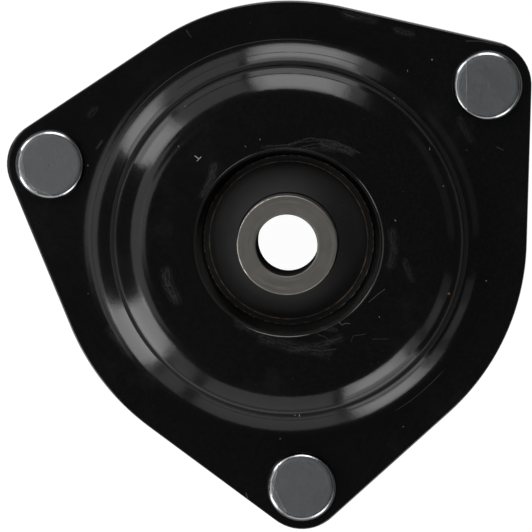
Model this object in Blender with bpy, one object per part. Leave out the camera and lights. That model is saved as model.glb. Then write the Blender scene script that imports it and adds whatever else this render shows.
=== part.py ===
"""Strut mount: the top mount of a car's front suspension strut.

A pressed steel plate with a raised hat is bolted to the car body by three press-in studs. A rubber bush sits in a cup
behind the hat's hole. The strut's rod passes through the steel collar in the middle of the rubber.

Units are metres and +Z is up. The mount stands on the tips of its studs with its spring side up, so the side that goes
against the car body faces down. The origin is on that resting plane, under the middle of the plate's outline, and one
stud lies on the +Y side.
"""

import math

import bmesh
import bpy
from mathutils import Matrix, Vector

# Clearance left between pieces that touch or are bonded
SEAT_GAP = 0.0003

# Steel collar that the rod passes through, with a spigot for the disc
COLLAR_BORE_RADIUS = 0.00725
COLLAR_WALL = 0.0046
COLLAR_LENGTH = 0.0144
COLLAR_STANDS_PROUD = 0.0073
COLLAR_CHAMFER = 0.0005
BORE_CHAMFER = 0.0004
SPIGOT_WALL = 0.00255

# Rubber cushion, from the collar outwards: a cone, a small moulded step, a flat land and a groove
CONE_TOP_ABOVE_PLATEAU = 0.0006
CONE_WIDTH = 0.00725
LAND_BELOW_PLATEAU = 0.0072
LAND_WIDTH = 0.0013
MOULDED_STEP = 0.0003
GROOVE_WIDTH = 0.004
GROOVE_DEPTH = 0.0046
GROOVE_ROUND = 0.001
RUBBER_UNDER_RING = 0.0004
NUT_RECESS_PAST_COLLAR = 0.00215
NUT_RECESS_FLARE = 0.0025

# Dished steel disc on the spigot, bonded into the rubber under the cone
DISC_THICKNESS = 0.0025
DISC_FLAT_PAST_COLLAR = 0.00065
DISC_RIM_INSIDE_STEP = 0.0016
DISC_RIM_ROUND = 0.0008
RUBBER_OVER_DISC_RIM = 0.002

# Bonded steel ring round the rubber
RING_WALL = 0.0016
RING_EDGE_ROUND = 0.0003

# Pressed cup that closes the bush in from the body side
COVER_THICKNESS = 0.002
COVER_DEPTH_PAST_SEAT = 0.010
COVER_CORNER_ROUND = 0.0045
COVER_RIM_WIDTH = 0.0048
COVER_RIM_BEND = 0.0014
COVER_EDGE_ROUND = 0.0003
COVER_OPENING_MARGIN = 0.001

# Main plate: thickness, the hat on its spring side, and the hole that shows the bush
PLATE_THICKNESS = 0.003
HAT_HEIGHT = 0.012
HAT_WALL_ANGLE = math.radians(63.0)
CROWN_BEND = 0.0103
FOOT_BEND = 0.0065
PLATEAU_MARGIN = 0.0005
HOLE_PAST_LAND = 0.0015
HOLE_ROLLED_EDGE = 0.0011
HOLE_BACK_EDGE = 0.0003

# Main plate: the trimmed outline, a round body with an ear for each stud
FLANGE_WIDTH = 0.007
EAR_MARGIN = 0.0022
TRIMMED_EDGE_ROUND = 0.0004
TRIMMED_EDGE_ANGLE = math.radians(60.0)

# Studs, on a circle about the bush: one on +Y and one each way round from it
STUD_SPREAD = math.radians(125.0)
STUD_HEAD_FROM_HAT = 0.0016
STUD_HEAD_RADIUS = 0.0084
STUD_HEAD_THICKNESS = 0.0022
STUD_HEAD_ROUND = 0.0013
STUD_THREAD_RADIUS = 0.004
STUD_NECK_STEP = 0.00045
STUD_NECK_PAST_PLATE = 0.0004
STUD_TIP_CHAMFER = 0.0009
STUD_REACH = 0.024

# Fineness of the curves: how far a rounding's flats may leave its arc, and the steps in a full turn
ROUNDING_ERROR = 0.0001
SMALLEST_SIDE = 0.0001
SHARP_ANGLE = math.radians(40.0)
PLATE_STEPS = 60
BUSH_STEPS = 40
STUD_STEPS = 20
EAR_STEPS = 10
BODY_ARC_STEPS = 9

# Radii that follow from each other, from the collar out to the studs
COLLAR_RADIUS = COLLAR_BORE_RADIUS + COLLAR_WALL
SPIGOT_RADIUS = COLLAR_BORE_RADIUS + SPIGOT_WALL
STEP_RADIUS = COLLAR_RADIUS + CONE_WIDTH
LAND_RADIUS = STEP_RADIUS + LAND_WIDTH
RING_INNER_RADIUS = LAND_RADIUS + GROOVE_WIDTH
RING_RADIUS = RING_INNER_RADIUS + RING_WALL
COVER_INNER_RADIUS = RING_RADIUS + SEAT_GAP
COVER_RADIUS = COVER_INNER_RADIUS + COVER_THICKNESS
COVER_RIM_RADIUS = COVER_RADIUS + COVER_RIM_WIDTH
HOLE_RADIUS = LAND_RADIUS + HOLE_PAST_LAND
PLATEAU_RADIUS = COVER_RIM_RADIUS + PLATEAU_MARGIN
CROWN_CORNER_RADIUS = PLATEAU_RADIUS + CROWN_BEND * math.tan(HAT_WALL_ANGLE / 2)
FOOT_CORNER_RADIUS = CROWN_CORNER_RADIUS + HAT_HEIGHT / math.tan(HAT_WALL_ANGLE)
FLANGE_START_RADIUS = FOOT_CORNER_RADIUS + FOOT_BEND * math.tan(HAT_WALL_ANGLE / 2)
BODY_RADIUS = FLANGE_START_RADIUS + FLANGE_WIDTH
STUD_CIRCLE_RADIUS = FLANGE_START_RADIUS + STUD_HEAD_FROM_HAT + STUD_HEAD_RADIUS
EAR_RADIUS = STUD_HEAD_RADIUS + EAR_MARGIN
EAR_REACH = STUD_CIRCLE_RADIUS + EAR_RADIUS
DISC_FLAT_RADIUS = COLLAR_RADIUS + DISC_FLAT_PAST_COLLAR
DISC_RIM_RADIUS = STEP_RADIUS - DISC_RIM_INSIDE_STEP
NUT_RECESS_RADIUS = COLLAR_RADIUS + NUT_RECESS_PAST_COLLAR
NUT_RECESS_MOUTH_RADIUS = NUT_RECESS_RADIUS + NUT_RECESS_FLARE
COVER_OPENING_RADIUS = NUT_RECESS_MOUTH_RADIUS + COVER_OPENING_MARGIN

# Levels that follow from each other, from the stud tips up
SEAT_LEVEL = STUD_REACH
FLANGE_LEVEL = SEAT_LEVEL + PLATE_THICKNESS
PLATEAU_LEVEL = FLANGE_LEVEL + HAT_HEIGHT
PLATEAU_BACK_LEVEL = PLATEAU_LEVEL - PLATE_THICKNESS
COLLAR_FACE_LEVEL = PLATEAU_LEVEL + COLLAR_STANDS_PROUD
COLLAR_END_LEVEL = COLLAR_FACE_LEVEL - COLLAR_LENGTH
DISC_TOP_LEVEL = COLLAR_END_LEVEL + DISC_THICKNESS
CONE_TOP_LEVEL = PLATEAU_LEVEL + CONE_TOP_ABOVE_PLATEAU
LAND_LEVEL = PLATEAU_LEVEL - LAND_BELOW_PLATEAU
COVER_FLOOR_LEVEL = SEAT_LEVEL - COVER_DEPTH_PAST_SEAT
COVER_INSIDE_CORNER = COVER_CORNER_ROUND - COVER_THICKNESS
RUBBER_BASE_LEVEL = COVER_FLOOR_LEVEL + COVER_THICKNESS + SEAT_GAP
RING_BASE_LEVEL = RUBBER_BASE_LEVEL + COVER_INSIDE_CORNER + RUBBER_UNDER_RING + SEAT_GAP

# Where the studs stand round the bush
STUD_AZIMUTHS = (math.pi / 2, math.pi / 2 + STUD_SPREAD, math.pi / 2 - STUD_SPREAD)

# The outline reaches further on the side of the +Y ear, so the bush lies a little to the -Y side of the origin
BUSH_AXIS_Y = (BODY_RADIUS - EAR_REACH) / 2


def clear_scene():
    """Removes whatever the scene holds."""
    for old in list(bpy.data.objects):
        bpy.data.objects.remove(old)


def finish(name, colour, roughness, metallic):
    """A plain material for one sub-part."""
    material = bpy.data.materials.new(name)
    material.use_nodes = True
    shader = material.node_tree.nodes["Principled BSDF"]
    shader.inputs["Base Color"].default_value = (*colour, 1.0)
    shader.inputs["Roughness"].default_value = roughness
    shader.inputs["Metallic"].default_value = metallic
    return material


def rounded_corner(before, corner, after, radius, room):
    """Points of the arc that rounds one corner, from the side before it to the side after it."""
    to_before = before - corner
    to_after = after - corner
    opening = to_before.angle(to_after)
    reach = min(radius / math.tan(opening / 2), room)
    start = corner + to_before.normalized() * reach
    end = corner + to_after.normalized() * reach
    middle = to_before.normalized() + to_after.normalized()
    centre = corner + middle.normalized() * reach / math.cos(opening / 2)
    first = start - centre
    sweep = math.pi - opening
    widest_step = 2 * math.acos(1 - min(ROUNDING_ERROR / first.length, 0.5))
    steps = math.ceil(sweep / widest_step)
    turn = math.copysign(sweep, first.cross(end - centre)) / steps
    return [centre + Matrix.Rotation(turn * step, 2) @ first for step in range(steps + 1)]


def room_on_side(corner, neighbour):
    """How far a rounding may reach along a side, which it shares with the neighbour's rounding if there is one."""
    side = (Vector(neighbour[:2]) - Vector(corner[:2])).length
    return side / 2 if neighbour[2] > 0 else side - SMALLEST_SIDE


def section(corners):
    """Points of a closed section in (radius, height), from corners given as (radius, height, rounding)."""
    points = []
    for index, corner in enumerate(corners):
        place = Vector(corner[:2])
        rounding = corner[2]
        if rounding > 0:
            before = corners[index - 1]
            after = corners[(index + 1) % len(corners)]
            room = min(room_on_side(corner, before), room_on_side(corner, after))
            points += rounded_corner(Vector(before[:2]), place, Vector(after[:2]), rounding, room)
        else:
            points.append(place)
    return points


def add_object(name, solid, material, parent):
    """Turns a bmesh into a smooth-shaded object under its parent."""
    mesh = bpy.data.meshes.new(name)
    solid.to_mesh(mesh)
    solid.free()
    mesh.shade_smooth()
    mesh.set_sharp_from_angle(angle=SHARP_ANGLE)
    part = bpy.data.objects.new(name, mesh)
    if material:
        mesh.materials.append(material)
    part.parent = parent
    bpy.context.scene.collection.objects.link(part)
    return part


def turned(name, corners, steps, material, parent):
    """A round piece: its section is spun once about its own axis."""
    solid = bmesh.new()
    verts = [solid.verts.new((radius, 0.0, height)) for radius, height in section(corners)]
    pairs = [(verts[index - 1], verts[index]) for index in range(len(verts))]
    edges = [solid.edges.new(pair) for pair in pairs if max(pair[0].co.x, pair[1].co.x) > 0]
    bmesh.ops.spin(
        solid,
        geom=verts + edges,
        cent=(0.0, 0.0, 0.0),
        axis=(0.0, 0.0, 1.0),
        angle=2 * math.pi,
        steps=steps,
        use_merge=True,
    )
    bmesh.ops.remove_doubles(solid, verts=solid.verts, dist=1e-6)
    bmesh.ops.recalc_face_normals(solid, faces=solid.faces)
    return add_object(name, solid, material, parent)


def make_cutter(name, solid, parent):
    """A tool body that other pieces are cut with."""
    bmesh.ops.recalc_face_normals(solid, faces=solid.faces)
    cutter = add_object(name, solid, None, parent)
    cutter.hide_render = True
    cutter.display_type = "WIRE"
    return cutter


def cut(part, cutter, operation):
    """Keeps what the cutter covers, or takes it away."""
    boolean = part.modifiers.new(cutter.name, "BOOLEAN")
    boolean.operation = operation
    boolean.object = cutter
    boolean.solver = "EXACT"


def on_circle(radius, azimuth):
    """A point on a circle about the bush."""
    return Vector((radius * math.cos(azimuth), radius * math.sin(azimuth)))


def arc_points(centre, radius, start, end, steps):
    """Points along an arc, both ends included."""
    step = (end - start) / steps
    return [centre + on_circle(radius, start + step * index) for index in range(steps + 1)]


def trimmed_outline():
    """The plate's outline: each ear is joined to the round body by straight sides that touch both."""
    side_angle = math.acos((BODY_RADIUS - EAR_RADIUS) / STUD_CIRCLE_RADIUS)
    ears = sorted(azimuth % (2 * math.pi) for azimuth in STUD_AZIMUTHS)
    points = []
    for index, ear in enumerate(ears):
        ear_centre = on_circle(STUD_CIRCLE_RADIUS, ear)
        points += arc_points(ear_centre, EAR_RADIUS, ear - side_angle, ear + side_angle, EAR_STEPS)
        next_ear = ears[(index + 1) % len(ears)]
        if next_ear <= ear:
            next_ear += 2 * math.pi
        body_start = ear + side_angle
        body_end = next_ear - side_angle
        points += arc_points(Vector((0.0, 0.0)), BODY_RADIUS, body_start, body_end, BODY_ARC_STEPS)
    return points


def trim_die(parent):
    """The prism that trims the pressing to its outline."""
    solid = bmesh.new()
    verts = [solid.verts.new((x, y, 0.0)) for x, y in trimmed_outline()]
    face = solid.faces.new(verts)
    extruded = bmesh.ops.extrude_face_region(solid, geom=[face])["geom"]
    top = [item for item in extruded if isinstance(item, bmesh.types.BMVert)]
    bmesh.ops.translate(solid, verts=top, vec=(0.0, 0.0, COLLAR_FACE_LEVEL))
    return make_cutter("trim_die", solid, parent)


def stud_punch(parent):
    """The round punches that pierce the holes for the studs."""
    solid = bmesh.new()
    hole_radius = STUD_THREAD_RADIUS + STUD_NECK_STEP + SEAT_GAP
    for azimuth in STUD_AZIMUTHS:
        centre = on_circle(STUD_CIRCLE_RADIUS, azimuth)
        bmesh.ops.create_cone(
            solid,
            cap_ends=True,
            segments=STUD_STEPS,
            radius1=hole_radius,
            radius2=hole_radius,
            depth=3 * PLATE_THICKNESS,
            matrix=Matrix.Translation((*centre, SEAT_LEVEL + PLATE_THICKNESS / 2)),
        )
    return make_cutter("stud_punch", solid, parent)


def pressing_corners():
    """Section of the drawn pressing before it is trimmed, one face of the sheet after the other."""
    blank_radius = EAR_REACH + PLATE_THICKNESS
    # The back of a bent sheet has its corners closer in, and its bends are tighter or wider by the thickness
    back_shift = PLATE_THICKNESS * math.tan(HAT_WALL_ANGLE / 2)
    spring_face = [
        (HOLE_RADIUS, PLATEAU_LEVEL, HOLE_ROLLED_EDGE),
        (CROWN_CORNER_RADIUS, PLATEAU_LEVEL, CROWN_BEND),
        (FOOT_CORNER_RADIUS, FLANGE_LEVEL, FOOT_BEND),
        (blank_radius, FLANGE_LEVEL, 0.0),
    ]
    body_face = [
        (blank_radius, SEAT_LEVEL, 0.0),
        (FOOT_CORNER_RADIUS - back_shift, SEAT_LEVEL, FOOT_BEND + PLATE_THICKNESS),
        (CROWN_CORNER_RADIUS - back_shift, PLATEAU_BACK_LEVEL, CROWN_BEND - PLATE_THICKNESS),
        (HOLE_RADIUS, PLATEAU_BACK_LEVEL, HOLE_BACK_EDGE),
    ]
    return spring_face + body_face


def main_plate(parent):
    """The pressed plate: drawn to its hat, trimmed to three ears, pierced for the studs, edges eased."""
    material = finish("black_gloss_paint", (0.012, 0.013, 0.015), 0.18, 0.0)
    plate = turned("main_plate", pressing_corners(), PLATE_STEPS, material, parent)
    cut(plate, trim_die(parent), "INTERSECT")
    cut(plate, stud_punch(parent), "DIFFERENCE")
    edges = plate.modifiers.new("eased_edges", "BEVEL")
    edges.width = TRIMMED_EDGE_ROUND
    edges.segments = 2
    edges.limit_method = "ANGLE"
    edges.angle_limit = TRIMMED_EDGE_ANGLE
    return plate


def stud_corners():
    """Section of a press-in stud, from the middle of its head to the middle of its tip."""
    head_seat = FLANGE_LEVEL + SEAT_GAP
    head_top = head_seat + STUD_HEAD_THICKNESS
    neck_radius = STUD_THREAD_RADIUS + STUD_NECK_STEP
    neck_end = SEAT_LEVEL - STUD_NECK_PAST_PLATE
    return [
        (0.0, head_top, 0.0),
        (STUD_HEAD_RADIUS, head_top, STUD_HEAD_ROUND),
        (STUD_HEAD_RADIUS, head_seat, 0.0),
        (neck_radius, head_seat, 0.0),
        (neck_radius, neck_end, 0.0),
        (STUD_THREAD_RADIUS, neck_end - STUD_NECK_STEP, 0.0),
        (STUD_THREAD_RADIUS, STUD_TIP_CHAMFER, 0.0),
        (STUD_THREAD_RADIUS - STUD_TIP_CHAMFER, 0.0, 0.0),
        (0.0, 0.0, 0.0),
    ]


def studs(parent):
    """Three alike studs, each in its own ear with its head on the spring side."""
    for number, azimuth in enumerate(STUD_AZIMUTHS, start=1):
        material = finish(f"zinc_stud_{number}", (0.42, 0.43, 0.44), 0.32, 1.0)
        stud = turned(f"stud_{number}", stud_corners(), STUD_STEPS, material, parent)
        stud.location = (*on_circle(STUD_CIRCLE_RADIUS, azimuth), 0.0)


def core_collar(parent):
    """The turned collar: the rod's shoulder bears on its proud face, and the disc sits on its spigot."""
    shoulder_level = DISC_TOP_LEVEL + SEAT_GAP
    corners = [
        (COLLAR_BORE_RADIUS, COLLAR_FACE_LEVEL, BORE_CHAMFER),
        (COLLAR_RADIUS, COLLAR_FACE_LEVEL, COLLAR_CHAMFER),
        (COLLAR_RADIUS, shoulder_level, 0.0),
        (SPIGOT_RADIUS, shoulder_level, 0.0),
        (SPIGOT_RADIUS, COLLAR_END_LEVEL, 0.0),
        (COLLAR_BORE_RADIUS, COLLAR_END_LEVEL, BORE_CHAMFER),
    ]
    material = finish("turned_steel", (0.30, 0.28, 0.26), 0.45, 1.0)
    return turned("core_collar", corners, BUSH_STEPS, material, parent)


def cone_level(radius):
    """Height of the rubber's cone at a radius."""
    foot_level = LAND_LEVEL + MOULDED_STEP
    slope = (CONE_TOP_LEVEL - foot_level) / (STEP_RADIUS - MOULDED_STEP - COLLAR_RADIUS - SEAT_GAP)
    return CONE_TOP_LEVEL - slope * (radius - COLLAR_RADIUS - SEAT_GAP)


def disc_fall(radius):
    """How far the dished disc has fallen at a radius. Its rim lies a set depth under the rubber's cone."""
    rim_level = cone_level(DISC_RIM_RADIUS) - RUBBER_OVER_DISC_RIM
    whole_fall = DISC_TOP_LEVEL - rim_level
    return whole_fall * (radius - DISC_FLAT_RADIUS) / (DISC_RIM_RADIUS - DISC_FLAT_RADIUS)


def core_disc(parent):
    """The dished disc that spreads the collar's load into the rubber."""
    hole_radius = SPIGOT_RADIUS + SEAT_GAP
    fall = disc_fall(DISC_RIM_RADIUS)
    corners = [
        (hole_radius, DISC_TOP_LEVEL, 0.0),
        (DISC_FLAT_RADIUS, DISC_TOP_LEVEL, 0.0),
        (DISC_RIM_RADIUS, DISC_TOP_LEVEL - fall, DISC_RIM_ROUND),
        (DISC_RIM_RADIUS, COLLAR_END_LEVEL - fall, DISC_RIM_ROUND),
        (DISC_FLAT_RADIUS, COLLAR_END_LEVEL, 0.0),
        (hole_radius, COLLAR_END_LEVEL, 0.0),
    ]
    material = finish("phosphated_disc", (0.08, 0.08, 0.08), 0.5, 0.6)
    return turned("core_disc", corners, BUSH_STEPS, material, parent)


def outer_ring(parent):
    """The steel ring round the rubber, held between the plate's lip and the cup."""
    top_level = PLATEAU_BACK_LEVEL - SEAT_GAP
    corners = [
        (RING_INNER_RADIUS, top_level, RING_EDGE_ROUND),
        (RING_RADIUS, top_level, RING_EDGE_ROUND),
        (RING_RADIUS, RING_BASE_LEVEL, RING_EDGE_ROUND),
        (RING_INNER_RADIUS, RING_BASE_LEVEL, RING_EDGE_ROUND),
    ]
    material = finish("phosphated_ring", (0.05, 0.05, 0.05), 0.5, 0.6)
    return turned("outer_ring", corners, BUSH_STEPS, material, parent)


def rubber_cushion(parent):
    """The moulded rubber: a cone up to the collar, a groove inside the ring, and a recess for the rod's nut."""
    bond_radius = COLLAR_RADIUS + SEAT_GAP
    ring_bond_radius = RING_INNER_RADIUS - SEAT_GAP
    groove_level = LAND_LEVEL - GROOVE_DEPTH
    under_ring_level = RING_BASE_LEVEL - SEAT_GAP
    pocket_radius = DISC_RIM_RADIUS + SEAT_GAP
    pocket_top = DISC_TOP_LEVEL + SEAT_GAP
    pocket_base = COLLAR_END_LEVEL - SEAT_GAP
    spring_side = [
        (bond_radius, CONE_TOP_LEVEL, 0.0),
        (STEP_RADIUS - MOULDED_STEP, LAND_LEVEL + MOULDED_STEP, 0.0),
        (STEP_RADIUS, LAND_LEVEL, 0.0),
        (LAND_RADIUS, LAND_LEVEL, 0.0),
        (LAND_RADIUS + MOULDED_STEP, groove_level, GROOVE_ROUND),
        (ring_bond_radius, groove_level, 0.0),
    ]
    ring_side = [
        (ring_bond_radius, under_ring_level, 0.0),
        (RING_RADIUS, under_ring_level, 0.0),
        (RING_RADIUS, RUBBER_BASE_LEVEL, COVER_INSIDE_CORNER),
        (NUT_RECESS_MOUTH_RADIUS, RUBBER_BASE_LEVEL, GROOVE_ROUND),
    ]
    disc_pocket = [
        (NUT_RECESS_RADIUS, pocket_base - disc_fall(NUT_RECESS_RADIUS), 0.0),
        (pocket_radius, pocket_base - disc_fall(pocket_radius), 0.0),
        (pocket_radius, pocket_top - disc_fall(pocket_radius), 0.0),
        (DISC_FLAT_RADIUS, pocket_top, 0.0),
        (bond_radius, pocket_top, 0.0),
    ]
    material = finish("black_rubber", (0.022, 0.021, 0.021), 0.65, 0.0)
    return turned("rubber_cushion", spring_side + ring_side + disc_pocket, BUSH_STEPS, material, parent)


def top_cover(parent):
    """The pressed cup round the bush: its rim is welded behind the plateau, and its floor has the nut opening."""
    rim_face = PLATEAU_BACK_LEVEL - SEAT_GAP
    rim_back = rim_face - COVER_THICKNESS
    floor_inside = COVER_FLOOR_LEVEL + COVER_THICKNESS
    corners = [
        (COVER_OPENING_RADIUS, COVER_FLOOR_LEVEL, COVER_EDGE_ROUND),
        (COVER_OPENING_RADIUS, floor_inside, COVER_EDGE_ROUND),
        (COVER_INNER_RADIUS, floor_inside, COVER_INSIDE_CORNER),
        (COVER_INNER_RADIUS, rim_face, COVER_RIM_BEND + COVER_THICKNESS),
        (COVER_RIM_RADIUS, rim_face, COVER_EDGE_ROUND),
        (COVER_RIM_RADIUS, rim_back, COVER_EDGE_ROUND),
        (COVER_RADIUS, rim_back, COVER_RIM_BEND),
        (COVER_RADIUS, COVER_FLOOR_LEVEL, COVER_CORNER_ROUND),
    ]
    material = finish("black_satin_paint", (0.014, 0.015, 0.016), 0.3, 0.0)
    return turned("top_cover", corners, BUSH_STEPS, material, parent)


def build_strut_mount():
    """Every sub-part is placed from the bush's axis."""
    clear_scene()
    bush_axis = bpy.data.objects.new("bush_axis", None)
    bush_axis.location = (0.0, BUSH_AXIS_Y, 0.0)
    bpy.context.scene.collection.objects.link(bush_axis)
    main_plate(bush_axis)
    top_cover(bush_axis)
    outer_ring(bush_axis)
    rubber_cushion(bush_axis)
    core_disc(bush_axis)
    core_collar(bush_axis)
    studs(bush_axis)


build_strut_mount()
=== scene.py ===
"""The looks of a strut mount: a gloss black plate with zinc-plated studs, a rubber bush and a turned collar.

Every piece is modelled round the bush's axis at the sizes that the frame gives, and stands for the plain
solid of the same piece. Lengths are metres. The camera looks down on the spring side, as in the photograph.
"""

import math

import bmesh
import bpy
from mathutils import Matrix, Vector


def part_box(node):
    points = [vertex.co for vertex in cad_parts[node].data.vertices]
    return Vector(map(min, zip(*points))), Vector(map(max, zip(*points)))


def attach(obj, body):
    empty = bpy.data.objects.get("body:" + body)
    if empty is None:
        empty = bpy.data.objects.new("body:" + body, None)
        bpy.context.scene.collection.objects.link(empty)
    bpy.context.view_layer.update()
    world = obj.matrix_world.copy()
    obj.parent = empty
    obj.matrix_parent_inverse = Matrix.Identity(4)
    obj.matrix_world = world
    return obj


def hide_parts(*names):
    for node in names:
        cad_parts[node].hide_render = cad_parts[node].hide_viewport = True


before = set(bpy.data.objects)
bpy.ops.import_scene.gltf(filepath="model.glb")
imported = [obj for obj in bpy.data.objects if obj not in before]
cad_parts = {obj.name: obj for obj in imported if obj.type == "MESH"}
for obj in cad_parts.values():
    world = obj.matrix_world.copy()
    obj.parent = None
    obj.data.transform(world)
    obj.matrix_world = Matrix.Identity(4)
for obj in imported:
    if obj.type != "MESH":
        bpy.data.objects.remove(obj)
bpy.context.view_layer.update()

MM = 0.001
FULL_TURN = 2 * math.pi

# The finer outlines and tips stay this far inside the plain solids' box
INSIDE_MARGIN = 0.03 * MM

# Places and sizes that the frame gives
collar_low, collar_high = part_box("core_collar")
plate_low, plate_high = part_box("main_plate")
cover_low, cover_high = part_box("top_cover")
ring_low, ring_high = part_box("outer_ring")
rubber_low, rubber_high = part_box("rubber_cushion")
disc_low, disc_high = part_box("core_disc")
BUSH_AXIS = Vector(((collar_low.x + collar_high.x) / 2, (collar_low.y + collar_high.y) / 2, 0.0))
COLLAR_RADIUS = (collar_high.x - collar_low.x) / 2
RING_RADIUS = (ring_high.x - ring_low.x) / 2
DISC_RADIUS = (disc_high.x - disc_low.x) / 2
COVER_RIM_RADIUS = (cover_high.x - cover_low.x) / 2
BODY_RADIUS = BUSH_AXIS.y - plate_low.y - INSIDE_MARGIN
EAR_REACH = plate_high.y - BUSH_AXIS.y - INSIDE_MARGIN
SEAT_LEVEL = plate_low.z
PLATEAU_LEVEL = plate_high.z

# Clearance between touching pieces
SEAT_GAP = 0.3 * MM

# The plate: a 3 mm sheet with a raised hat, a rolled hole and an ear for each stud
SHEET = 3.0 * MM
HAT_WALL_ANGLE = math.radians(63.0)
CROWN_BEND = 10.3 * MM
FOOT_BEND = 6.5 * MM
PLATEAU_MARGIN = 0.5 * MM
SHOULDER_EDGE = 33.1 * MM
SHOULDER_BEND = 11.8 * MM
SHOULDER_ANGLE = math.radians(45.0)
SHOULDER_ROUND = 0.7 * MM
WIDE_FOOT_BEND = 10.8 * MM
HOLE_RADIUS = 21.9 * MM
HOLE_ROLLED_EDGE = 1.1 * MM
HOLE_BACK_EDGE = 0.3 * MM
TRIMMED_EDGE_ROUND = 0.45 * MM
RIM_WIDTH = 1.0 * MM
FLANGE_RINGS = 6
FLANGE_LEVEL = SEAT_LEVEL + SHEET
HAT_HEIGHT = PLATEAU_LEVEL - FLANGE_LEVEL
PLATEAU_BACK_LEVEL = PLATEAU_LEVEL - SHEET
PLATEAU_EDGE = COVER_RIM_RADIUS + PLATEAU_MARGIN
CROWN_CORNER = PLATEAU_EDGE + CROWN_BEND * math.tan(HAT_WALL_ANGLE / 2)
FOOT_CORNER = CROWN_CORNER + HAT_HEIGHT / math.tan(HAT_WALL_ANGLE)
FLANGE_START = FOOT_CORNER + FOOT_BEND * math.tan(HAT_WALL_ANGLE / 2)

# The studs: M8 press-in studs with coined flat heads
STUD_BOXES = {name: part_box(name) for name in ("stud_1", "stud_2", "stud_3")}
STUD_CENTRES = {
    name: Vector(((low.x + high.x) / 2, (low.y + high.y) / 2, 0.0))
    for name, (low, high) in STUD_BOXES.items()
}
STUD_HEAD_RADIUS = (STUD_BOXES["stud_1"][1].y - STUD_BOXES["stud_1"][0].y) / 2
STUD_CIRCLE_RADIUS = (STUD_CENTRES["stud_1"] - BUSH_AXIS).length
EAR_RADIUS = EAR_REACH - STUD_CIRCLE_RADIUS
STUD_HEAD_ROUND = 1.3 * MM
STUD_HEAD_THICKNESS = 2.2 * MM
THREAD_RADIUS = 4.0 * MM
THREAD_PITCH = 1.25 * MM
THREAD_DEPTH = 0.767 * MM
THREAD_CHAMFER = 0.9 * MM
NECK_RADIUS = 4.45 * MM
NECK_PAST_PLATE = 0.4 * MM
NECK_GROOVE = 0.965
# Where the coining die ran out on each head: the directions of its straight edges in degrees, and their
# distances from the stud's axis in millimetres
COIN_CHORDS = {
    "stud_1": ((233.0, 4.9),),
    "stud_2": ((240.0, 6.3), (268.0, 6.4), (298.0, 6.6)),
    "stud_3": ((222.0, 6.5), (258.0, 6.0)),
}
COIN_RIDGE = 0.16 * MM
COIN_RIDGE_HEIGHT = 0.03 * MM
COIN_SLOPE = math.radians(2.0)
COIN_STEP_START = 0.25 * MM
COIN_STEP_END = 0.1 * MM
COIN_STEP_DEPTH = 0.04 * MM
DIMPLE_RADIUS = 0.40 * MM
DIMPLE_DEPTH = 0.08 * MM
NECK_TAPER = 0.45 * MM
NECK_END_INSET = 0.1 * MM
THREAD_INTO_NECK = 0.3 * MM
# The thread's profile: how far up its pitch the flank starts, and the crest starts and ends
FLANK_START = 0.22
CREST_START = 0.53
CREST_END = 0.69
# Painted shade on the outer part of the rolled rim, where it would reflect the pale floor, measured in from
# the rim and down from the face
RIM_SHADE_START = 0.60 * MM
RIM_SHADE_FULL = 0.40 * MM
RIM_SHADE_DEPTH = 0.95 * MM
RIM_SHADE_FADE = 0.25 * MM

# The bush, from the collar outwards
BORE_RADIUS = 7.25 * MM
SPIGOT_RADIUS = 9.8 * MM
BORE_CHAMFER = 0.4 * MM
COLLAR_CHAMFER = 0.3 * MM
# Painted shade in the bore: where it starts and where it is full, measured out from the bore
BORE_SHADE_START = 0.32 * MM
BORE_SHADE_FULL = 0.05 * MM
# The burr on the collar's edge, painted pale as a highlight where it catches the light: its half width, and
# the azimuths in degrees where it shows
BURR_WIDTH = 0.16 * MM
BURR_AZIMUTHS = (148, 272)
DISC_THICKNESS = 2.5 * MM
DISC_FLAT_RADIUS = 12.5 * MM
DISC_RIM_ROUND = 0.8 * MM
CONE_TOP_LEVEL = rubber_high.z
STEP_RADIUS = 19.1 * MM
LAND_RADIUS = 20.4 * MM
LAND_LEVEL = PLATEAU_LEVEL - 7.2 * MM
MOULD_STEP = 0.3 * MM
FLASH_HEIGHT = 0.08 * MM
FLASH_WIDTH = 0.12 * MM
GROOVE_LEVEL = LAND_LEVEL - 4.6 * MM
GROOVE_ROUND = 1.0 * MM
CONE_LIP_WIDTH = 0.5 * MM
CONE_LIP_DROP = 0.55 * MM
# Where the painted light on the cone's foot starts
CONE_LIGHT_START = 15.0 * MM
NUT_RECESS_RADIUS = 14.0 * MM
NUT_RECESS_ROUND = 1.0 * MM
NUT_RECESS_MOUTH = 16.5 * MM
RING_WALL = 1.6 * MM
COVER_SHEET = 2.0 * MM
COVER_CORNER = 4.5 * MM
COVER_RIM_BEND = 1.4 * MM
COVER_EDGE_ROUND = 0.35 * MM
COVER_OPENING = 17.5 * MM

# The camera: where it stands round the flange, what it aims at and the lens
CAMERA_DISTANCE = 1.358
CAMERA_ELEVATION = math.radians(84.25)
CAMERA_AZIMUTH = math.radians(120.7)
CAMERA_UP_AZIMUTH = math.radians(142.1)
CAMERA_AIM = Vector((1.88 * MM, -15.37 * MM, 27.0 * MM))
CAMERA_LENS = 382.7
CAMERA_SENSOR = 36.0
PICTURE_PIXELS = 532

# Fineness of the turned pieces, and what counts as the same place
SAME_PLACE = 1e-6
SPIN_SEAM = 1e-7
ARC_STEP = math.radians(4.0)
SHORTEST_CHORD = 0.16 * MM
LONG_RUN = 1.2 * MM
END_POINT_REACH = 0.08 * MM
PLATE_STEPS = 360
BUSH_STEPS = 160
STUD_STEPS = 72
# Edges sharper than these stay crisp
SHARP_ANGLE = math.radians(35.0)
STUD_SHARP_ANGLE = math.radians(28.0)

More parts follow.
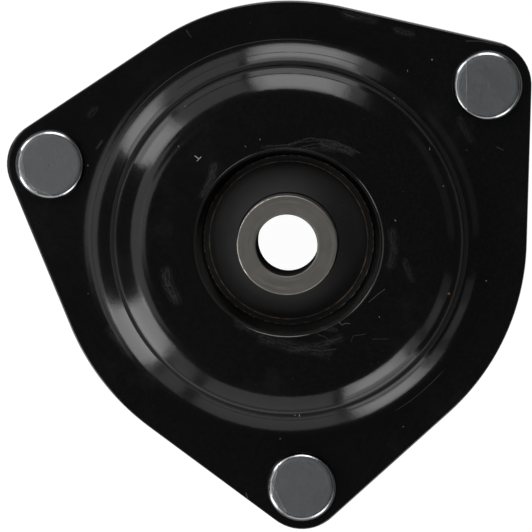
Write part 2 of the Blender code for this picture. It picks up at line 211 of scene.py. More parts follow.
# Strokes that the plate's paint carries, at the picture's pixels: hazy rubs, then fine scratches and hairs.
# Each has its height, its half width in millimetres, its strength and its points.
WALL_LEVEL = 33.0 * MM
RUBS = (
    (PLATEAU_LEVEL, 1.40, 0.050, ((322, 144), (338, 147), (352, 152))),
    (PLATEAU_LEVEL, 0.22, 0.055, ((291, 150), (314, 144), (338, 144), (360, 153))),
    (PLATEAU_LEVEL, 0.20, 0.050, ((296, 150), (318, 147), (340, 150), (352, 156))),
    (PLATEAU_LEVEL, 0.20, 0.045, ((280, 149), (300, 142), (325, 140), (347, 146), (358, 152))),
    (PLATEAU_LEVEL, 0.25, 0.060, ((266, 146), (287, 145), (309, 138), (334, 141), (347, 147), (360, 153))),
    (PLATEAU_LEVEL, 0.60, 0.030, ((262, 147), (300, 149), (336, 151))),
    (PLATEAU_LEVEL, 1.50, 0.050, ((214, 166), (212, 178), (203, 195))),
    (PLATEAU_LEVEL, 0.40, 0.040, ((216, 168), (208, 186))),
    (PLATEAU_LEVEL, 1.50, 0.030, ((237, 323), (255, 332))),
    (PLATEAU_LEVEL, 1.90, 0.055, ((166, 272), (168, 285), (176, 300))),
    (PLATEAU_LEVEL, 2.20, 0.035, ((262, 338), (290, 346), (326, 352))),
    (PLATEAU_LEVEL, 1.30, 0.045, ((290, 350), (318, 346), (340, 338))),
    (PLATEAU_LEVEL, 0.25, 0.060, ((291, 347), (322, 351), (336, 349))),
    (PLATEAU_LEVEL, 0.80, 0.045, ((322, 328), (336, 330))),
    (PLATEAU_LEVEL, 1.60, 0.035, ((392, 232), (394, 250), (390, 266))),
    (PLATEAU_LEVEL, 1.20, 0.030, ((405, 262), (412, 280))),
    (FLANGE_LEVEL, 1.20, 0.035, ((95, 109), (90, 115))),
    (FLANGE_LEVEL, 0.50, 0.060, ((102, 141), (97, 148))),
    (FLANGE_LEVEL, 1.20, 0.040, ((396, 30), (412, 34))),
    (FLANGE_LEVEL, 1.60, 0.030, ((345, 14), (374, 20))),
    (FLANGE_LEVEL, 1.40, 0.030, ((460, 120), (470, 140))),
    (FLANGE_LEVEL, 1.80, 0.025, ((110, 330), (128, 352))),
)
SCRATCHES = (
    (PLATEAU_LEVEL, 0.12, 0.16, ((339, 322), (342, 325), (346, 323), (350, 324))),
    (PLATEAU_LEVEL, 0.12, 0.13, ((369, 302), (377, 295), (385, 289))),
    (PLATEAU_LEVEL, 0.10, 0.07, ((317, 334), (325, 337), (331, 342))),
    (PLATEAU_LEVEL, 0.10, 0.07, ((351, 342), (353, 336), (366, 334))),
    (PLATEAU_LEVEL, 0.10, 0.06, ((372, 339), (389, 339))),
    (PLATEAU_LEVEL, 0.16, 0.75, ((195, 156), (199, 159))),
    (PLATEAU_LEVEL, 0.14, 0.70, ((201, 157), (197, 161))),
    (FLANGE_LEVEL, 0.12, 0.11, ((186, 30), (191, 37))),
    (FLANGE_LEVEL, 0.12, 0.12, ((345, 14), (354, 17))),
    (FLANGE_LEVEL, 0.12, 0.12, ((466, 41), (480, 41), (503, 46))),
    (FLANGE_LEVEL, 0.12, 0.10, ((497, 147), (503, 150))),
    (FLANGE_LEVEL, 0.16, 0.12, ((246, 493), (248, 500))),
    (WALL_LEVEL, 0.13, 0.60, ((294, 416), (295, 417))),
    (WALL_LEVEL, 0.15, 0.70, ((299, 415), (299, 418))),
    (PLATEAU_LEVEL, 0.13, 0.30, ((178, 146), (179, 147))),
    (PLATEAU_LEVEL, 0.13, 0.35, ((245, 146), (246, 147))),
    (PLATEAU_LEVEL, 0.13, 0.40, ((260, 139), (260, 140))),
    (PLATEAU_LEVEL, 0.16, 0.45, ((395, 220), (396, 221))),
    (PLATEAU_LEVEL, 0.13, 0.35, ((393, 100), (394, 101))),
    (PLATEAU_LEVEL, 0.13, 0.30, ((407, 73), (407, 75))),
    (FLANGE_LEVEL, 0.16, 0.30, ((430, 145), (430, 147))),
)
# Rubs wider than this many millimetres on each side are streaky
NARROW_RUB = 0.5
STREAKS_ACROSS = 2600.0
STREAKS_ALONG = 260.0
# One speck of rust on the hat's wall, also at a pixel of the picture
RUST_SPECK = (449, 293)
RUST_LEVEL = PLATEAU_LEVEL - 4.0 * MM
RUST_REACH = 0.42 * MM
RUST_CORE = 0.12 * MM
# The crease that runs round the hat's short wall, where the gloss is dull
CREASE_RADIUS = 42.1 * MM
CREASE_HALF_WIDTH = 0.75 * MM
CREASE_EDGE = 0.15 * MM
# Painted light on the wall of the hole and the inner part of its rolled edge, which makes their shade paler:
# where it starts and where it is full
HOLE_LIGHT_START = 0.45 * MM
HOLE_LIGHT_FULL = 0.05 * MM

# Fine lines that the press tools left round the hat. Each has its radius and half width in millimetres, how
# much it dulls the gloss, and the azimuths in degrees between which it shows, counted round the bush.
PRESS_LINES = (
    (40.15, 0.20, 0.90, 118, 182),
    (40.50, 0.18, 0.60, 285, 372),
    (41.90, 0.16, 0.60, 0, 360),
    (43.00, 0.10, 0.35, 118, 182),
    (43.80, 0.16, 0.55, 180, 215),
    (43.75, 0.18, 0.70, 275, 372),
    (44.75, 0.18, 0.60, 116, 182),
    (47.45, 0.14, 0.60, 120, 290),
)
# Painted highlights: lines that have caught the light, on the foot and on the wall, painted pale into the
# paint's colour. Their third value is how pale they are.
BRIGHT_LINES = (
    (47.80, 0.12, 0.09, 132, 198),
    (48.80, 0.12, 0.09, 352, 373),
    (41.60, 0.12, 0.08, 202, 222),
    (41.30, 0.12, 0.06, 84, 98),
)
# Over this many degrees each round line fades in and out
LINE_FADE = 4.0

# The studio: how bright the room is, the floor's size and tones, how far off the panels stand, and each
# panel's azimuths and elevations in degrees and its brightness
ROOM_LEVEL = 0.05
FLOOR_HALF_SIZE = 4.0
FLOOR_LIT_COLOUR = (0.35, 0.35, 0.35, 1.0)
FLOOR_SHADOW_COLOUR = (0.14, 0.14, 0.14, 1.0)
FLOOR_WHITE = 0.955
PANEL_DISTANCE = 1.8
UPRIGHT_PANELS = (
    ("soft_panel_upper", 121, 158, 20, 58, 2.5),
    ("soft_panel_upper_side", 113, 158, 20, 58, 0.7),
    ("soft_panel_upper_middle", 127, 153, 24, 52, 1.0),
    ("soft_panel_upper_skirt", 118, 158, 0, 20, 1.8),
    ("soft_panel_left_high", 191, 210, 18, 51, 2.7),
    ("soft_panel_left_high_side", 187, 211, 18, 51, 0.7),
    ("soft_panel_left_high_middle", 194, 208, 20, 45, 0.9),
    ("soft_panel_left_high_skirt", 190, 210, 0, 18, 2.4),
    ("soft_panel_left_low", 258, 277, -1, 48, 3.4),
    ("soft_panel_left_low_side", 256, 278, -1, 48, 0.8),
    ("soft_panel_left_low_middle", 260, 275, 8, 40, 1.5),
    ("soft_panel_right_low", 339, 363, 18, 45, 2.4),
    ("soft_panel_right_low_side", 338, 370, 18, 45, 0.7),
    ("soft_panel_right_low_middle", 343, 358, 20, 40, 1.0),
    ("soft_panel_right_low_skirt", 338, 366, 0, 18, 1.7),
    ("grey_card_upper", 161, 187, 3, 52, 0.7),
    ("grey_card_left", 281, 289, 3, 44, 0.7),
    ("grey_card_lower", 293, 335, 3, 44, 0.7),
    ("dim_card_right", 10, 34, 16, 40, 0.22),
    ("dim_card_right_middle", 14, 26, 19, 37, 0.25),
    ("dim_card_far_right", 48, 92, 24, 42, 0.09),
    ("dim_card_far_right_middle", 56, 84, 28, 37, 0.10),
)
CEILING_CARDS = (
    ("grey_card_ceiling_low", 207, 267, 43, 66, 0.85),
    ("grey_card_ceiling_high", 217, 253, 65, 77, 0.85),
)


def rounded_corner(before, corner, after, radius):
    """Points of the arc that rounds one corner of a section."""
    to_before = (before - corner).normalized()
    to_after = (after - corner).normalized()
    opening = to_before.angle(to_after)
    reach = radius / math.tan(opening / 2)
    start = corner + to_before * reach
    end = corner + to_after * reach
    centre = corner + (to_before + to_after).normalized() * reach / math.cos(opening / 2)
    sweep = math.pi - opening
    steps = max(2, math.ceil(sweep / max(ARC_STEP, SHORTEST_CHORD / radius)))
    turn = math.copysign(sweep, (start - centre).cross(end - centre)) / steps
    return [centre + Matrix.Rotation(turn * step, 2) @ (start - centre) for step in range(steps + 1)]


def section(corners):
    """Points of a closed section in (radius, height), from corners given as (radius, height, rounding)."""
    points = []
    for index, (radius, height, rounding) in enumerate(corners):
        place = Vector((radius, height))
        if rounding > 0:
            before = Vector(corners[index - 1][:2])
            after = Vector(corners[(index + 1) % len(corners)][:2])
            points += rounded_corner(before, place, after, rounding)
        else:
            points.append(place)
    return with_end_points(points)


def with_end_points(points):
    """Adds a point close to each end of a long straight run, so that smooth shading stays flat along it."""
    finer = []
    for index, start in enumerate(points):
        end = points[(index + 1) % len(points)]
        run = end - start
        finer.append(start)
        if run.length > LONG_RUN:
            step = run.normalized() * END_POINT_REACH
            finer += [start + step, end - step]
    return finer


def spun(corners, steps):
    """A bmesh of a section spun once about the Z axis."""
    solid = bmesh.new()
    verts = [solid.verts.new((radius, 0.0, height)) for radius, height in section(corners)]
    pairs = [(verts[index - 1], verts[index]) for index in range(len(verts))]
    edges = [solid.edges.new(pair) for pair in pairs if max(pair[0].co.x, pair[1].co.x) > 0]
    bmesh.ops.spin(
        solid,
        geom=verts + edges,
        cent=(0.0, 0.0, 0.0),
        axis=(0.0, 0.0, 1.0),
        angle=FULL_TURN,
        steps=steps,
        use_merge=True,
    )
    bmesh.ops.remove_doubles(solid, verts=solid.verts, dist=SPIN_SEAM)
    bmesh.ops.recalc_face_normals(solid, faces=solid.faces)
    return solid


def make_piece(name, solid, material, node, sharp=SHARP_ANGLE):
    """Turns a bmesh into a finished piece that stands for its node and rides on the only body."""
    mesh = bpy.data.meshes.new(name)
    solid.to_mesh(mesh)
    solid.free()
    mesh.shade_smooth()
    mesh.set_sharp_from_angle(angle=sharp)
    mesh.materials.append(material)
    piece = bpy.data.objects.new(name, mesh)
    bpy.context.scene.collection.objects.link(piece)
    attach(piece, "root")
    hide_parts(node)
    return piece


def boolean_result(solid, tool, operation):
    """The bmesh of one closed solid cut by, or joined to, another."""
    objects = []
    for name, shape in (("blank", solid), ("tool", tool)):
        mesh = bpy.data.meshes.new(name)
        shape.to_mesh(mesh)
        shape.free()
        holder = bpy.data.objects.new(name, mesh)
        bpy.context.scene.collection.objects.link(holder)
        objects.append(holder)
    blank, cutter = objects
    boolean = blank.modifiers.new("boolean", "BOOLEAN")
    boolean.operation = operation
    boolean.object = cutter
    boolean.solver = "MANIFOLD"
    evaluated = blank.evaluated_get(bpy.context.evaluated_depsgraph_get())
    result = bmesh.new()
    result.from_mesh(evaluated.to_mesh())
    evaluated.to_mesh_clear()
    for holder in objects:
        bpy.data.objects.remove(holder)
    return result


def outline_radius(azimuth):
    """How far the trimmed outline lies from the bush's axis in one direction."""
    side = math.acos((BODY_RADIUS - EAR_RADIUS) / STUD_CIRCLE_RADIUS)
    ear_end = math.atan2(EAR_RADIUS * math.sin(side), STUD_CIRCLE_RADIUS + EAR_RADIUS * math.cos(side))
    nearest = math.pi
    for centre in STUD_CENTRES.values():
        offset = centre - BUSH_AXIS
        away = azimuth - math.atan2(offset.y, offset.x)
        nearest = min(nearest, abs(math.remainder(away, FULL_TURN)))
    if nearest <= ear_end:
        across = STUD_CIRCLE_RADIUS * math.sin(nearest)
        return STUD_CIRCLE_RADIUS * math.cos(nearest) + math.sqrt(EAR_RADIUS**2 - across**2)
    if nearest < side:
        return BODY_RADIUS / math.cos(side - nearest)
    return BODY_RADIUS


def plate_corners():
    """Section of the round pressing, spring face first, then the face on the body side.

    Seen from the spring side, wide shoulders run up to and down from a short steep wall between them.
    """
    back_shift = SHEET * math.tan(HAT_WALL_ANGLE / 2)
    flange = BODY_RADIUS - RIM_WIDTH - FLANGE_START
    flange_rings = [FLANGE_START + flange * step / FLANGE_RINGS for step in range(1, FLANGE_RINGS + 1)]
    crown_reach = SHOULDER_BEND * math.tan(SHOULDER_ANGLE / 2)
    foot_reach = WIDE_FOOT_BEND * math.tan(SHOULDER_ANGLE / 2)
    crown = Vector((SHOULDER_EDGE + crown_reach, PLATEAU_LEVEL))
    foot = Vector((FLANGE_START - foot_reach, FLANGE_LEVEL))
    slope = Vector((math.cos(SHOULDER_ANGLE), -math.sin(SHOULDER_ANGLE)))
    wall_top = crown + slope * (crown_reach + SHOULDER_ROUND / 2)
    wall_foot = foot - slope * (foot_reach + SHOULDER_ROUND / 2)
    spring_face = [
        (HOLE_RADIUS, PLATEAU_LEVEL, HOLE_ROLLED_EDGE),
        (*crown, SHOULDER_BEND),
        (*wall_top, SHOULDER_ROUND),
        (*wall_foot, SHOULDER_ROUND),
        (*foot, WIDE_FOOT_BEND),
    ]
    spring_face += [(radius, FLANGE_LEVEL, 0.0) for radius in flange_rings]
    spring_face += [(BODY_RADIUS, FLANGE_LEVEL, TRIMMED_EDGE_ROUND)]
    body_face = [(BODY_RADIUS, SEAT_LEVEL, TRIMMED_EDGE_ROUND)]
    body_face += [(radius, SEAT_LEVEL, 0.0) for radius in reversed(flange_rings)]
    body_face += [
        (FOOT_CORNER - back_shift, SEAT_LEVEL, FOOT_BEND + SHEET),
        (CROWN_CORNER - back_shift, PLATEAU_BACK_LEVEL, CROWN_BEND - SHEET),
        (HOLE_RADIUS, PLATEAU_BACK_LEVEL, HOLE_BACK_EDGE),
    ]
    return spring_face + body_face


def stud_holes():
    """Round tools that pierce the ears."""
    tools = bmesh.new()
    for centre in STUD_CENTRES.values():
        bmesh.ops.create_cone(
            tools,
            cap_ends=True,
            segments=STUD_STEPS,
            radius1=NECK_RADIUS + SEAT_GAP,
            radius2=NECK_RADIUS + SEAT_GAP,
            depth=3 * SHEET,
            matrix=Matrix.Translation(centre + Vector((0.0, 0.0, SEAT_LEVEL + SHEET / 2))),
        )
    return tools


def pressed_plate(material):
    """The pressing: spun round, drawn out to its trimmed outline and pierced for the studs."""
    solid = spun(plate_corners(), PLATE_STEPS)
    rim_start = BODY_RADIUS - RIM_WIDTH
    for vert in solid.verts:
        radius = math.hypot(vert.co.x, vert.co.y)
        if radius > FLANGE_START:
            azimuth = math.atan2(vert.co.y, vert.co.x)
            share = min(1.0, (radius - FLANGE_START) / (rim_start - FLANGE_START))
            drawn = radius + share * (outline_radius(azimuth) - BODY_RADIUS)
            vert.co.x *= drawn / radius
            vert.co.y *= drawn / radius
    bmesh.ops.translate(solid, verts=solid.verts, vec=BUSH_AXIS)
    pierced = boolean_result(solid, stud_holes(), "DIFFERENCE")
    return make_piece("pressed_plate", pierced, material, "main_plate")


def turned_piece(name, corners, material, node):
    """A round piece of the bush, on its axis."""
    solid = spun(corners, BUSH_STEPS)
    bmesh.ops.translate(solid, verts=solid.verts, vec=BUSH_AXIS)
    return make_piece(name, solid, material, node)


def turned_collar(material):
    """The steel collar with its proud face, bore and spigot."""
    disc_seat = collar_low.z + DISC_THICKNESS + SEAT_GAP
    corners = [
        (BORE_RADIUS, collar_high.z, BORE_CHAMFER),
        (COLLAR_RADIUS, collar_high.z, COLLAR_CHAMFER),
        (COLLAR_RADIUS, disc_seat, 0.0),
        (SPIGOT_RADIUS, disc_seat, 0.0),
        (SPIGOT_RADIUS, collar_low.z, 0.0),
        (BORE_RADIUS, collar_low.z, BORE_CHAMFER),
    ]
    return turned_piece("turned_collar", corners, material, "core_collar")


def disc_fall(radius):
    """How far the dished disc has fallen at a radius."""
    whole_fall = disc_high.z - disc_low.z - DISC_THICKNESS
    return whole_fall * (radius - DISC_FLAT_RADIUS) / (DISC_RADIUS - DISC_FLAT_RADIUS)


def dished_disc(material):
    """The steel disc on the collar's spigot."""
    inner = SPIGOT_RADIUS + SEAT_GAP
    fall = disc_fall(DISC_RADIUS)
    top = disc_high.z
    base = disc_high.z - DISC_THICKNESS
    corners = [
        (inner, top, 0.0),
        (DISC_FLAT_RADIUS, top, 0.0),
        (DISC_RADIUS, top - fall, DISC_RIM_ROUND),
        (DISC_RADIUS, base - fall, DISC_RIM_ROUND),
        (DISC_FLAT_RADIUS, base, 0.0),
        (inner, base, 0.0),
    ]
    return turned_piece("dished_disc", corners, material, "core_disc")


def bonded_ring(material):
    """The steel ring that the rubber is bonded to."""
    inner = RING_RADIUS - RING_WALL
    corners = [
        (inner, ring_high.z, COVER_EDGE_ROUND),
        (RING_RADIUS, ring_high.z, COVER_EDGE_ROUND),
        (RING_RADIUS, ring_low.z, COVER_EDGE_ROUND),
        (inner, ring_low.z, COVER_EDGE_ROUND),
    ]
    return turned_piece("bonded_ring", corners, material, "outer_ring")


def rubber_bush(material):
    """The moulded rubber, with the fine flash that the mould leaves at the step and at the land's edge."""
    bond = COLLAR_RADIUS + SEAT_GAP
    ring_bond = RING_RADIUS - RING_WALL - SEAT_GAP
    under_ring = ring_low.z - SEAT_GAP
    pocket_radius = DISC_RADIUS + SEAT_GAP
    pocket_top = disc_high.z + SEAT_GAP
    pocket_base = disc_high.z - DISC_THICKNESS - SEAT_GAP
    inside_corner = COVER_CORNER - COVER_SHEET
    spring_side = [
        (bond, CONE_TOP_LEVEL, 0.0),
        (bond + CONE_LIP_WIDTH, CONE_TOP_LEVEL - CONE_LIP_DROP, 0.0),
        (STEP_RADIUS - MOULD_STEP, LAND_LEVEL + MOULD_STEP, 0.0),
        (STEP_RADIUS - FLASH_WIDTH / 2, LAND_LEVEL + MOULD_STEP + FLASH_HEIGHT, 0.0),
        (STEP_RADIUS, LAND_LEVEL, 0.0),
        (LAND_RADIUS - FLASH_WIDTH, LAND_LEVEL, 0.0),
        (LAND_RADIUS - FLASH_WIDTH / 2, LAND_LEVEL + FLASH_HEIGHT, 0.0),
        (LAND_RADIUS, LAND_LEVEL, 0.0),
        (LAND_RADIUS + MOULD_STEP, GROOVE_LEVEL, GROOVE_ROUND),
        (ring_bond, GROOVE_LEVEL, 0.0),
    ]
    ring_side = [
        (ring_bond, under_ring, 0.0),
        (RING_RADIUS, under_ring, 0.0),
        (RING_RADIUS, rubber_low.z, inside_corner),
        (NUT_RECESS_MOUTH, rubber_low.z, NUT_RECESS_ROUND),
    ]
    disc_pocket = [
        (NUT_RECESS_RADIUS, pocket_base - disc_fall(NUT_RECESS_RADIUS), 0.0),
        (pocket_radius, pocket_base - disc_fall(pocket_radius), 0.0),
        (pocket_radius, pocket_top - disc_fall(pocket_radius), 0.0),
        (DISC_FLAT_RADIUS, pocket_top, 0.0),
        (bond, pocket_top, 0.0),
    ]
    corners = spring_side + ring_side + disc_pocket
    return turned_piece("rubber_bush", corners, material, "rubber_cushion")


def pressed_cup(material):
    """The cup behind the plate, with its welded rim and its opening for the nut."""
    inner = RING_RADIUS + SEAT_GAP
    outer = inner + COVER_SHEET
    rim_back = cover_high.z - COVER_SHEET
    floor_inside = cover_low.z + COVER_SHEET
    corners = [
        (COVER_OPENING, cover_low.z, COVER_EDGE_ROUND),
        (COVER_OPENING, floor_inside, COVER_EDGE_ROUND),
        (inner, floor_inside, COVER_CORNER - COVER_SHEET),
        (inner, cover_high.z, COVER_RIM_BEND + COVER_SHEET),
        (COVER_RIM_RADIUS, cover_high.z, COVER_EDGE_ROUND),
        (COVER_RIM_RADIUS, rim_back, COVER_EDGE_ROUND),
        (outer, rim_back, COVER_RIM_BEND),
        (outer, cover_low.z, COVER_CORNER),
    ]
    return turned_piece("pressed_cup", corners, material, "top_cover")


def rolled_thread():
    """A rolled M8 thread, right-handed, with a chamfered tip and an end that goes into the neck."""
    root = THREAD_RADIUS - THREAD_DEPTH
    top = SEAT_LEVEL - NECK_PAST_PLATE + THREAD_INTO_NECK
    turns = math.ceil(top / THREAD_PITCH) + 3
    steps_per_turn = STUD_STEPS // 2
    profile = (
        (root, 0.0),
        (root, THREAD_PITCH * FLANK_START),
        (THREAD_RADIUS, THREAD_PITCH * CREST_START),
        (THREAD_RADIUS, THREAD_PITCH * CREST_END),
        (root, THREAD_PITCH),
    )
    thread = bmesh.new()
    start = -2 * THREAD_PITCH
    verts = [thread.verts.new((radius, 0.0, start + height)) for radius, height in profile]
    edges = [thread.edges.new(pair) for pair in zip(verts, verts[1:])]
    bmesh.ops.spin(
        thread,
        geom=verts + edges,
        cent=(0.0, 0.0, 0.0),
        axis=(0.0, 0.0, 1.0),
        dvec=(0.0, 0.0, THREAD_PITCH / steps_per_turn),
        angle=FULL_TURN * turns,
        steps=steps_per_turn * turns,
        use_merge=False,
    )
    bmesh.ops.remove_doubles(thread, verts=thread.verts, dist=SAME_PLACE)
    for level, outward in ((INSIDE_MARGIN, -1.0), (top, 1.0)):
        cut = bmesh.ops.bisect_plane(
            thread,
            geom=thread.verts[:] + thread.edges[:] + thread.faces[:],
            plane_co=(0.0, 0.0, level),
            plane_no=(0.0, 0.0, outward),
            clear_outer=True,
        )
        loop = [item for item in cut["geom_cut"] if isinstance(item, bmesh.types.BMEdge)]
        bmesh.ops.edgeloop_fill(thread, edges=loop)
    for vert in thread.verts:
        radius = math.hypot(vert.co.x, vert.co.y)
        limit = THREAD_RADIUS - THREAD_CHAMFER + max(0.0, vert.co.z)
        if radius > limit:
            vert.co.x *= limit / radius
            vert.co.y *= limit / radius
    bmesh.ops.recalc_face_normals(thread, faces=thread.faces)
    return thread


def coin_chord(head, top, direction, distance):
    """One straight edge of the coined flat: a fine ridge, and beyond it the face slopes down to the rim."""
    outward = Vector((math.cos(direction), math.sin(direction), 0.0))
    for steps in range(-2, 3):
        bmesh.ops.bisect_plane(
            head,
            geom=head.verts[:] + head.edges[:] + head.faces[:],
            plane_co=outward * (distance + steps * COIN_RIDGE),
            plane_no=outward,
        )
    for vert in head.verts:
        if vert.co.z > top - STUD_HEAD_ROUND:
            past = vert.co.dot(outward) - distance
            if abs(past) < SAME_PLACE:
                vert.co.z += COIN_RIDGE_HEIGHT
            elif past > 0:
                vert.co.z -= (past - COIN_RIDGE) * math.tan(COIN_SLOPE)


def coined_head(chords):
    """The head and the serrated neck."""
    seat = FLANGE_LEVEL + SEAT_GAP
    top = seat + STUD_HEAD_THICKNESS - COIN_RIDGE_HEIGHT
    flat = STUD_HEAD_RADIUS - STUD_HEAD_ROUND
    neck_end = SEAT_LEVEL - NECK_PAST_PLATE
    corners = [
        (0.0, top - DIMPLE_DEPTH, 0.0),
        (DIMPLE_RADIUS, top, 0.0),
        (0.35 * flat, top, 0.0),
        (0.7 * flat, top, 0.0),
        (flat - COIN_STEP_START, top, 0.0),
        (flat - COIN_STEP_END, top - COIN_STEP_DEPTH, 0.0),
        (STUD_HEAD_RADIUS, top - COIN_STEP_DEPTH, STUD_HEAD_ROUND),
        (STUD_HEAD_RADIUS, seat, 0.0),
        (NECK_RADIUS, seat, 0.0),
        (NECK_RADIUS, neck_end, 0.0),
        (THREAD_RADIUS - NECK_END_INSET, neck_end - NECK_TAPER, 0.0),
        (0.0, neck_end - NECK_TAPER, 0.0),
    ]
    head = spun(corners, STUD_STEPS)
    for vert in head.verts:
        index = round(math.atan2(vert.co.y, vert.co.x) / FULL_TURN * STUD_STEPS)
        on_neck = abs(math.hypot(vert.co.x, vert.co.y) - NECK_RADIUS) < SAME_PLACE
        if on_neck and vert.co.z < seat - SAME_PLACE and index % 2:
            vert.co.x *= NECK_GROOVE
            vert.co.y *= NECK_GROOVE
    for degrees, distance in chords:
        coin_chord(head, top, math.radians(degrees), distance * MM)
    return head


def press_in_stud(name, material, chords):
    """One stud: coined head, serrated neck and rolled thread as one solid."""
    stud = boolean_result(coined_head(chords), rolled_thread(), "UNION")
    bmesh.ops.recalc_face_normals(stud, faces=stud.faces)
    bmesh.ops.translate(stud, verts=stud.verts, vec=STUD_CENTRES[name])
    number = name.split("_")[1]
    title = f"press_in_stud_{number}"
    return make_piece(title, stud, material, name, STUD_SHARP_ANGLE)


class Finish:
    """A material's node tree, with short ways to add to it."""

    def __init__(self, name):
        self.material = bpy.data.materials.new(name)
        self.material.use_nodes = True
        self.tree = self.material.node_tree
        self.shader = self.tree.nodes["Principled BSDF"]
        self.place = self.add("ShaderNodeTexCoord").outputs["Object"]
        self.facing = self.place.node.outputs["Normal"]

    def add(self, kind, values=None, **settings):
        """A node with its settings, and values or links on its inputs."""
        node = self.tree.nodes.new(kind)
        for key, setting in settings.items():
            setattr(node, key, setting)
        for key, value in (values or {}).items():
            self.put(node.inputs[key], value)
        return node

    def put(self, socket, value):
        """Links a socket, or gives it a plain value."""
        if isinstance(value, bpy.types.NodeSocket):
            self.tree.links.new(value, socket)
        else:
            socket.default_value = value

    def calc(self, operation, *values, clamp=False):
        """One sum on plain numbers."""
        node = self.add("ShaderNodeMath", dict(enumerate(values)), operation=operation, use_clamp=clamp)
        return node.outputs[0]

    def vector(self, operation, *values):
        """One sum on vectors."""
        node = self.add("ShaderNodeVectorMath", dict(enumerate(values)), operation=operation)
        return node.outputs["Value" if operation in ("LENGTH", "DISTANCE", "DOT_PRODUCT") else "Vector"]

    def ramp(self, value, low, high, to_low=0.0, to_high=1.0):
        """A smooth step between two limits."""
        values = {"Value": value, "From Min": low, "From Max": high, "To Min": to_low, "To Max": to_high}
        node = self.add("ShaderNodeMapRange", values, interpolation_type="SMOOTHSTEP")
        return node.outputs["Result"]

    def noise(self, scale, detail=3.0, roughness=0.55, place=None, distortion=0.0):
        """Fractal noise between about 0.3 and 0.7."""
        values = {"Vector": place or self.place, "Scale": scale, "Detail": detail}
        values.update({"Roughness": roughness, "Distortion": distortion})
        return self.add("ShaderNodeTexNoise", values).outputs["Fac"]

    def blend(self, share, first, second):
        """A colour between two."""
        node = self.add("ShaderNodeMix", data_type="RGBA")
        self.put(node.inputs[0], share)
        for socket, colour in ((node.inputs[6], first), (node.inputs[7], second)):
            self.put(socket, (*colour, 1.0) if isinstance(colour, tuple) else colour)
        return node.outputs[2]

    def specks(self, spacing, share, size, place=None):
        """Sparse round specks: a share of the cells of a Voronoi pattern holds one."""
        values = {"Vector": place or self.place, "Scale": 1 / spacing}
        cells = self.add("ShaderNodeTexVoronoi", values)
        lottery = self.add("ShaderNodeSeparateColor", {"Color": cells.outputs["Color"]})
        chosen = self.calc("GREATER_THAN", lottery.outputs[0], 1 - share)
        extent = self.calc("MULTIPLY", lottery.outputs[1], size / spacing)
        inside = self.calc("LESS_THAN", cells.outputs["Distance"], extent)
        return self.calc("MULTIPLY", chosen, inside)

    def height(self, value, distance, under=None):
        """A bump of a real height in metres, over another bump if there is one."""
        node = self.add("ShaderNodeBump", {"Height": value, "Distance": distance, "Strength": 1.0})
        if under:
            self.put(node.inputs["Normal"], under)
        return node.outputs["Normal"]

    def from_axis(self, centre):
        """The place measured from an upright axis: the flat offset, the radius and the azimuth."""
        offset = self.vector("SUBTRACT", self.place, tuple(centre))
        flat = self.vector("MULTIPLY", offset, (1.0, 1.0, 0.0))
        radius = self.vector("LENGTH", flat)
        parts = self.add("ShaderNodeSeparateXYZ", {"Vector": flat})
        azimuth = self.calc("ARCTAN2", parts.outputs["Y"], parts.outputs["X"])
        return flat, radius, azimuth

    def ring(self, radius, at, width):
        """A fine line round the axis at one radius: 1 on the line, 0 off it."""
        away = self.calc("ABSOLUTE", self.calc("SUBTRACT", radius, at))
        return self.ramp(away, width, 0.0)

    def set(self, **sockets):
        """Values or links for the shader's own sockets, with spaces written as underscores."""
        for key, value in sockets.items():
            self.put(self.shader.inputs[key.replace("_", " ")], value)
        return self.material


def camera_axes():
    """The camera's backward, right and upward directions."""
    level = math.cos(CAMERA_ELEVATION)
    back = Vector((
        level * math.cos(CAMERA_AZIMUTH),
        level * math.sin(CAMERA_AZIMUTH),
        math.sin(CAMERA_ELEVATION),
    ))
    upright = Vector((math.cos(CAMERA_UP_AZIMUTH), math.sin(CAMERA_UP_AZIMUTH), 0.0))
    up = (upright - back * upright.dot(back)).normalized()
    return back, up.cross(back), up


def seen_at(pixel, level):
    """The point at a height that the camera sees at one pixel of the picture."""
    back, right, up = camera_axes()
    across = (pixel[0] - PICTURE_PIXELS / 2) / PICTURE_PIXELS * CAMERA_SENSOR / CAMERA_LENS
    down = (pixel[1] - PICTURE_PIXELS / 2) / PICTURE_PIXELS * CAMERA_SENSOR / CAMERA_LENS
    ray = right * across - up * down - back
    eye = CAMERA_AIM + back * CAMERA_DISTANCE
    return eye + ray * (level - eye.z) / ray.z


def stroke_mask(finish, flat, stroke):
    """How strongly one stroke shows at a place: a chain of soft-edged straight lengths."""
    level, half_width, strength, pixels = stroke
    places = [seen_at(pixel, level) - BUSH_AXIS for pixel in pixels]
    chain = None
    for start, end in zip(places, places[1:]):
        run = Vector((end.x - start.x, end.y - start.y, 0.0))
        along = run.normalized()
        offset = finish.vector("SUBTRACT", flat, (start.x, start.y, 0.0))
        reach = finish.vector("DOT_PRODUCT", offset, tuple(along))
        held = finish.add("ShaderNodeClamp", {"Value": reach, "Min": 0.0, "Max": run.length}).outputs[0]
        foot = finish.add("ShaderNodeVectorMath", {0: tuple(along), "Scale": held}, operation="SCALE")
        away = finish.vector("DISTANCE", offset, foot.outputs[0])
        length = finish.ramp(away, half_width * MM, 0.0, 0.0, strength)
        if half_width > NARROW_RUB:
            across = finish.vector("DOT_PRODUCT", offset, (-along.y, along.x, 0.0))
            streaks = finish.noise(1.0, 3.0, 0.65, streak_place(finish, across, reach))
            length = finish.calc("MULTIPLY", length, finish.ramp(streaks, 0.36, 0.64, 0.2, 1.35))
        chain = finish.calc("MAXIMUM", chain, length) if chain else length
    return chain


def streak_place(finish, across, along):
    """A place that is stretched along a stroke, so that noise there gives fine streaks."""
    values = {
        "X": finish.calc("MULTIPLY", across, STREAKS_ACROSS),
        "Y": finish.calc("MULTIPLY", along, STREAKS_ALONG),
    }
    return finish.add("ShaderNodeCombineXYZ", values).outputs[0]


